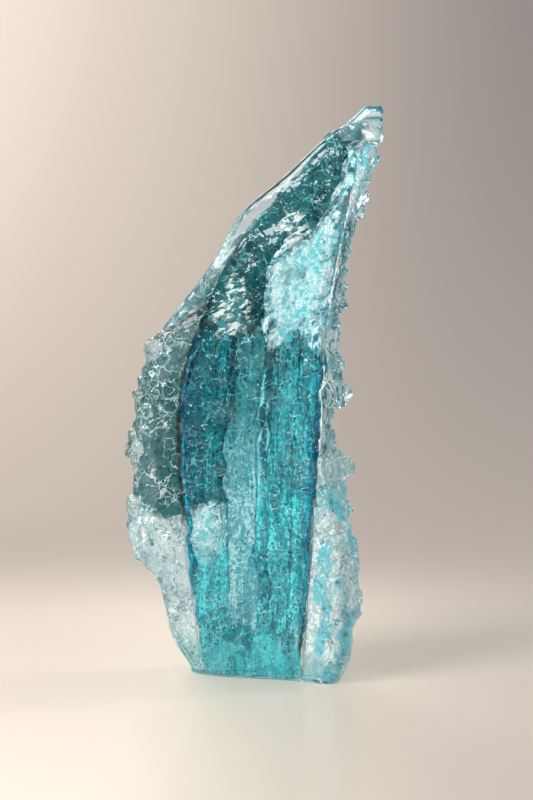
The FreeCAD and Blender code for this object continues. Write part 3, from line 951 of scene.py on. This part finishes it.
# the wing white serves the cracks and the painted glint highlights
wing_dark, wing_spot, wing_white_and_glint = (0.0, 0.15, 0.20), (0.0, 0.13, 0.14), (0.93, 0.97, 0.96)
low_glint, high_glint, dark_spot = (-80, 182, 12, 11, 3.0), (-75, 229, 6, 8, 3.0), (-72, 117, 13, 8, 0.6)
crazed, tree = new_material("crazed_glass")
fine_net = use_group(tree, cracks, Scale=120, Width=0.035, Warp=0.014, Broken=0.44)[0]
wide_net = use_group(tree, cracks, Scale=62, Width=0.028, Warp=0.02, Broken=0.40)[0]
dots = use_group(tree, seeds, Scale=300, Size=0.22, Share=0.14)[0]
lines = most(fine_net, wide_net, dots)
dark_net = use_group(tree, cracks, Scale=78, Width=0.08, Warp=0.03, Broken=0.42)[0]
dark_net = most(dark_net, use_group(tree, seeds, Scale=170, Size=0.38, Share=0.2)[0])
cloud = noise(tree, object_place(tree), 75, Detail=5, Distortion=1.2)
height = axis(tree, "Z")
frayed = plus(height, times(cloud, 0.03))
smoky = times(fade(frayed, 0.128, 0.134), fade(frayed, 0.330, 0.285))
comb = use_group(tree, combed, Scale=210)[0]
# two painted highlight patches: the glints
glints = times(most(patch_at(tree, *low_glint), patch_at(tree, *high_glint)),
               most(comb, times(fine_net, 0.9)))
white_cloud_and_glints = times(fade(cloud, 0.58, 0.68), minus(1.0, smoky))
# the painted glints join the white clouds here
white_cloud_and_glints = most(white_cloud_and_glints, glints, times(comb, fade(height, 0.235, 0.255, 0.0, 0.8)))
low_block, spot = fade(frayed, 0.046, 0.036), patch_at(tree, *dark_spot)
tone = blend_colour(smoky, wing_clear, wing_smoke)
tone = blend_colour(low_block, tone, wing_block)
tone = blend_colour(dark_net, tone, wing_dark)
tone = blend_colour(spot, tone, wing_spot)
tone = blend_colour(most(lines, white_cloud_and_glints), tone, wing_white_and_glint)
cover = plus(plus(0.16, times(smoky, 0.40)), times(low_block, 0.3))
cover = most(cover, times(spot, 0.75), times(dark_net, 0.85), times(white_cloud_and_glints, 0.8),
             times(lines, 0.85), clamp=True)
cover = times(cover, fade(frayed, 0.034, 0.044, 0.75, 1.0))
cover = times(cover, fade(frayed, 0.345, 0.315))
thin_layer(tree, tone, cover)

# %% [markdown]
# ## The milky right wing
# The wing right of the inlay holds milk: white and cyan streaks that run with the wave, a dark and a white
# rope along the edge, and a few cream cracks. The ropes follow a sine of the distance to the rim, which is
# stored on the mesh. A volume could hold the milk, but the export can't read one, so it is a thin layer too.
# The dark and the white rope are painted shadow and painted highlight lines along the skin's rope folds.

# %% Milky glass
# the rope white is a painted highlight tone, and the dark milk tone also paints the ropes' shadow lines
milk_cyan, milk_white, painted_rope_highlight_tone = (0.16, 0.76, 0.88), (0.95, 1.0, 1.0), (0.85, 0.98, 0.99)
milk_dark_and_rope_shade, milk_cream = (0.0, 0.22, 0.28), (0.95, 0.90, 0.82)
rope_turns, rope_wobble = 26.0, 14.0
milky_wing, tree = new_material("milky_wing_glass")
flow = use_group(tree, streaks, Scale=80, Stretch=0.35, Warp=0.045)
streak = flow["Both"]
net = use_group(tree, cracks, Scale=75, Width=0.04, Warp=0.03, Broken=0.44)[0]
wobble = noise(tree, object_place(tree), 45, Detail=3)
height = axis(tree, "Z")
rope_zone = times(fade(height, 0.13, 0.17), fade(height, 0.36, 0.32))
twist = plus(times(stored(tree, "inside_share"), rope_turns), times(wobble, rope_wobble))
wave = arithmetic("SINE", twist)
# painted highlight: a white line along each rope fold
painted_rope_highlight = times(fade(wave, -0.3, -0.8), rope_zone)
dark_net = use_group(tree, cracks, Scale=95, Width=0.06, Warp=0.03, Broken=0.44)[0]
# adds a painted shadow line along each rope fold to the dark cracks and seeds
dark_net = most(dark_net, use_group(tree, seeds, Scale=190, Size=0.40, Share=0.22)[0],
                times(fade(wave, 0.55, 0.9), rope_zone))
soft_streak = plus(flow["Mask"], times(streak, 0.15))
tone = blend_colour(fade(soft_streak, 0.30, 0.75), milk_cyan, milk_white)
tone = blend_colour(painted_rope_highlight, tone, painted_rope_highlight_tone)
tone = blend_colour(dark_net, tone, milk_dark_and_rope_shade)
tone = blend_colour(net, tone, milk_cream)
bends = arithmetic("ABSOLUTE", minus(streak, 0.48))
cover = plus(0.30, times(bends, 1.3))
cover = most(cover, times(most(net, dark_net, painted_rope_highlight), 0.8), clamp=True)
frayed = plus(height, times(streak, 0.006))
cover = times(cover, fade(frayed, 0.018, 0.026, 0.55, 1.0))
thin_layer(tree, tone, cover)

# %% Layers in the wings
wing_gap, wing_grain, wing_reach = 2.4 * mm, 1.4 * mm, 20 * mm
wings = ((["left_flank", "foot_left_block"], crazed, "left_wing_cracks"),
         (["right_flank", "foot_right_block"], milky_wing, "right_wing_milk"),
         (["crest_edge"], milky_wing, "crest_edge_milk"), (["polished_rim"], crazed, "rim_cracks"))
for nodes, finish, name in wings:
    piece = charge(*nodes, gap=wing_gap, grain=wing_grain, name=name, sway=0.0)
    mark_share(piece, "inside_share", depth_in(piece, 2, 0)[1] / wing_reach)
    piece.data.materials.append(finish)
    print(piece.name, len(piece.data.polygons))

# %% [markdown]
# ## Cream froth
# Beside the left strip, and where the crest folds over, the froth is cream and combed into slanting lines. It
# lies on the front of the inlay only. A decal would need a picture, so the front faces of a copy of the bars
# are kept inside an ellipse, the rest is deleted, and the same torn share as the frit's frays its rim.

# %% Cream froth
comb_shade, comb_cream = (0.14, 0.52, 0.56), (0.95, 0.94, 0.88)
cream, tree = new_material("cream_froth")
churn = use_group(tree, combed, Scale=340, Squeeze=0.36)["Height"]
tone = blend_colour(fade(churn, 0.48, 0.56), comb_shade, comb_cream)
torn = plus(stored(tree, "inside_share"), times(minus(churn, 0.5), 3.0))
cover = times(fade(torn, 0.3, 0.9), fade(churn, 0.47, 0.58, 0.28, 0.85))
thin_layer(tree, tone, cover)
facing_front, froth_lift, froth_grain = -0.3, 0.3 * mm, 1.2 * mm


def keep_front(piece, middle, wide, tall):
    clear_parts(piece, "FACE")
    for face in piece.data.polygons:
        away = ((face.center.x - middle.x) / wide) ** 2 + ((face.center.z - middle.z) / tall) ** 2
        face.select = away > 1 or face.normal.y > facing_front
    bpy.ops.object.mode_set(mode="EDIT")
    bpy.ops.mesh.delete(type="FACE")
    bpy.ops.object.mode_set(mode="OBJECT")
    min(piece.data.polygons, key=lambda face: (face.center - middle).length).select = True
    bpy.ops.object.mode_set(mode="EDIT")
    bpy.ops.mesh.select_linked()
    bpy.ops.mesh.select_all(action="INVERT")
    bpy.ops.mesh.delete(type="FACE")
    bpy.ops.object.mode_set(mode="OBJECT")


patches = ((["crest_left_core", "left_stave"], (-25, 262), (17, 26), "cream_froth"),
           (["crest_left_core", "crest_right_core"], (19, 316), (12, 15), "crest_fold_froth"))
for nodes, (x, z), (wide, tall), name in patches:
    piece = charge(*nodes, gap=-froth_lift, grain=froth_grain, name=name)
    keep_front(piece, Vector((x * mm, 0, z * mm)), wide * mm, tall * mm)
    mark_share(piece, "inside_share", rim_share(piece, 10))
    piece.data.materials.append(cream)
    print(piece.name, len(piece.data.polygons))

# %% [markdown]
# ## Tint of the peak
# The peak is clear, but its folded rim is seen edge on, through the width of the glass, so it looks banded
# with teal and white. Thin folds that close together would tear in a voxel skin. A layer inside the tip
# carries the bands instead, on a colour ramp that runs down from the top.
# Its dark teal spot is painted: it stands for the teal bar seen through the peak by refraction, not a tint of
# the glass.

# %% Tint of the peak
band_teal, band_deep, band_white = (0.0, 0.20, 0.25), (0.0, 0.18, 0.22), (0.92, 0.97, 0.97)
# the teal spot tone is a painted refraction of the teal bar
painted_refracted_tone, spot_white = (0.0, 0.13, 0.16), (0.95, 0.99, 0.99)
peak_painted_refraction, peak_foam, peak_reach = (61, 381, 10, 12, 1.0), (75, 380, 8, 11), 12 * mm
peak_glass, tree = new_material("peak_glass")
bands = add(tree, "ValToRGB", {"Fac": stored(tree, "inside_share")})
ramp = bands.color_ramp
ramp.elements[0].color = (*band_teal, 1)
ramp.elements[1].color = (0.55, 0.80, 0.80, 0.15)
for position, colour in ((0.30, (*band_teal, 0.85)), (0.38, (*band_white, 0.5)),
                         (0.54, (0.85, 0.95, 0.96, 0.4)), (0.62, (*band_deep, 0.8)),
                         (0.72, (*band_deep, 0.7)), (0.84, (0.7, 0.92, 0.93, 0.25))):
    ramp.elements.new(position).color = colour
right_end = fade(axis(tree, "X"), 50 * mm, 68 * mm)
curly = use_group(tree, froth, Scale=160, Curl=1.2, Thin=0.05, Cover=0.46)[0]
pale_froth = times(patch_at(tree, *peak_foam), curly)
# painted refraction: a dark teal spot where the teal bar shows through the peak
painted_refracted_teal = patch_at(tree, *peak_painted_refraction)
tone = blend_colour(times(painted_refracted_teal, 0.95), bands.outputs["Color"], painted_refracted_tone)
tone = blend_colour(pale_froth, tone, spot_white)
cover = most(times(bands.outputs["Alpha"], right_end), times(painted_refracted_teal, 0.8),
             times(pale_froth, 0.85))
thin_layer(tree, tone, cover, roughness=0.3)
piece = charge("crest_tip", gap=1.4 * mm, grain=0.8 * mm, name="peak_tint", sway=0.0)
finish_modifier(piece, "SMOOTH", factor=0.5, iterations=peak_smoothing)
mark_share(piece, "inside_share", depth_in(piece, 0, 2)[1] / peak_reach)
piece.data.materials.append(peak_glass)
print(piece.name, len(piece.data.polygons))
